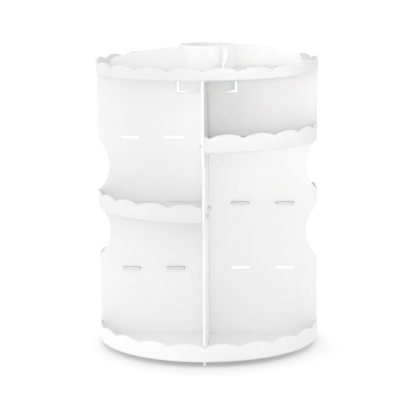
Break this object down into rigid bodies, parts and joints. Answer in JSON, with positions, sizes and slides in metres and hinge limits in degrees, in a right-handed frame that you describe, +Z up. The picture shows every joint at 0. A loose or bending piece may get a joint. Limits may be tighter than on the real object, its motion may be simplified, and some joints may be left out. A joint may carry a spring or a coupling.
{
  "type": "rotating makeup carousel",
  "caption": "White rotating makeup carousel: boards in a cross between scalloped round trays, with plug-in quarter shelves, a brush cup with divider fins and a ball-bearing foot.",
  "frame": {"origin": "on the table, under the carousel's axis, at the bottom of the rubber feet", "axes": "+Z up along the turning axis, -Y towards the front board's outer edge, +X to the right of a viewer in front"},
  "size_m": [0.2296, 0.2296, 0.3128],
  "materials": {
    "white_plastic": "satin white moulded plastic",
    "foot_plastic": "matt white moulded plastic",
    "cage_plastic": "natural nylon",
    "foot_rubber": "soft grey rubber",
    "steel": "bright zinc-plated steel"
  },
  "bodies": {
    "foot": {"foot_plate": "foot_plastic", "rubber_feet": "foot_rubber"},
    "carousel": {"base_tray": "white_plastic", "top_tray": "white_plastic", "brush_cup": "white_plastic", "right_board": "white_plastic", "back_board": "white_plastic", "left_board": "white_plastic", "front_board": "white_plastic", "back_right_shelf": "white_plastic", "back_left_shelf": "white_plastic", "front_left_shelf": "white_plastic", "front_right_shelf": "white_plastic", "pivot_washer": "steel", "pivot_screw": "steel"},
    "ball_ring": {"ball_cage": "cage_plastic", "bearing_balls": "steel"}
  },
  "joints": [
    {"name": "carousel_spin", "type": "hinge", "parent": "foot", "child": "carousel", "pos_m": [0, 0, 0], "axis": [0, 0, 1], "continuous": true},
    {"name": "cage_spin", "type": "hinge", "parent": "foot", "child": "ball_ring", "pos_m": [0, 0, 0], "axis": [0, 0, 1], "continuous": true}
  ],
  "couplings": [
    {"joint": "cage_spin", "follows": "carousel_spin", "ratio": 0.5}
  ]
}
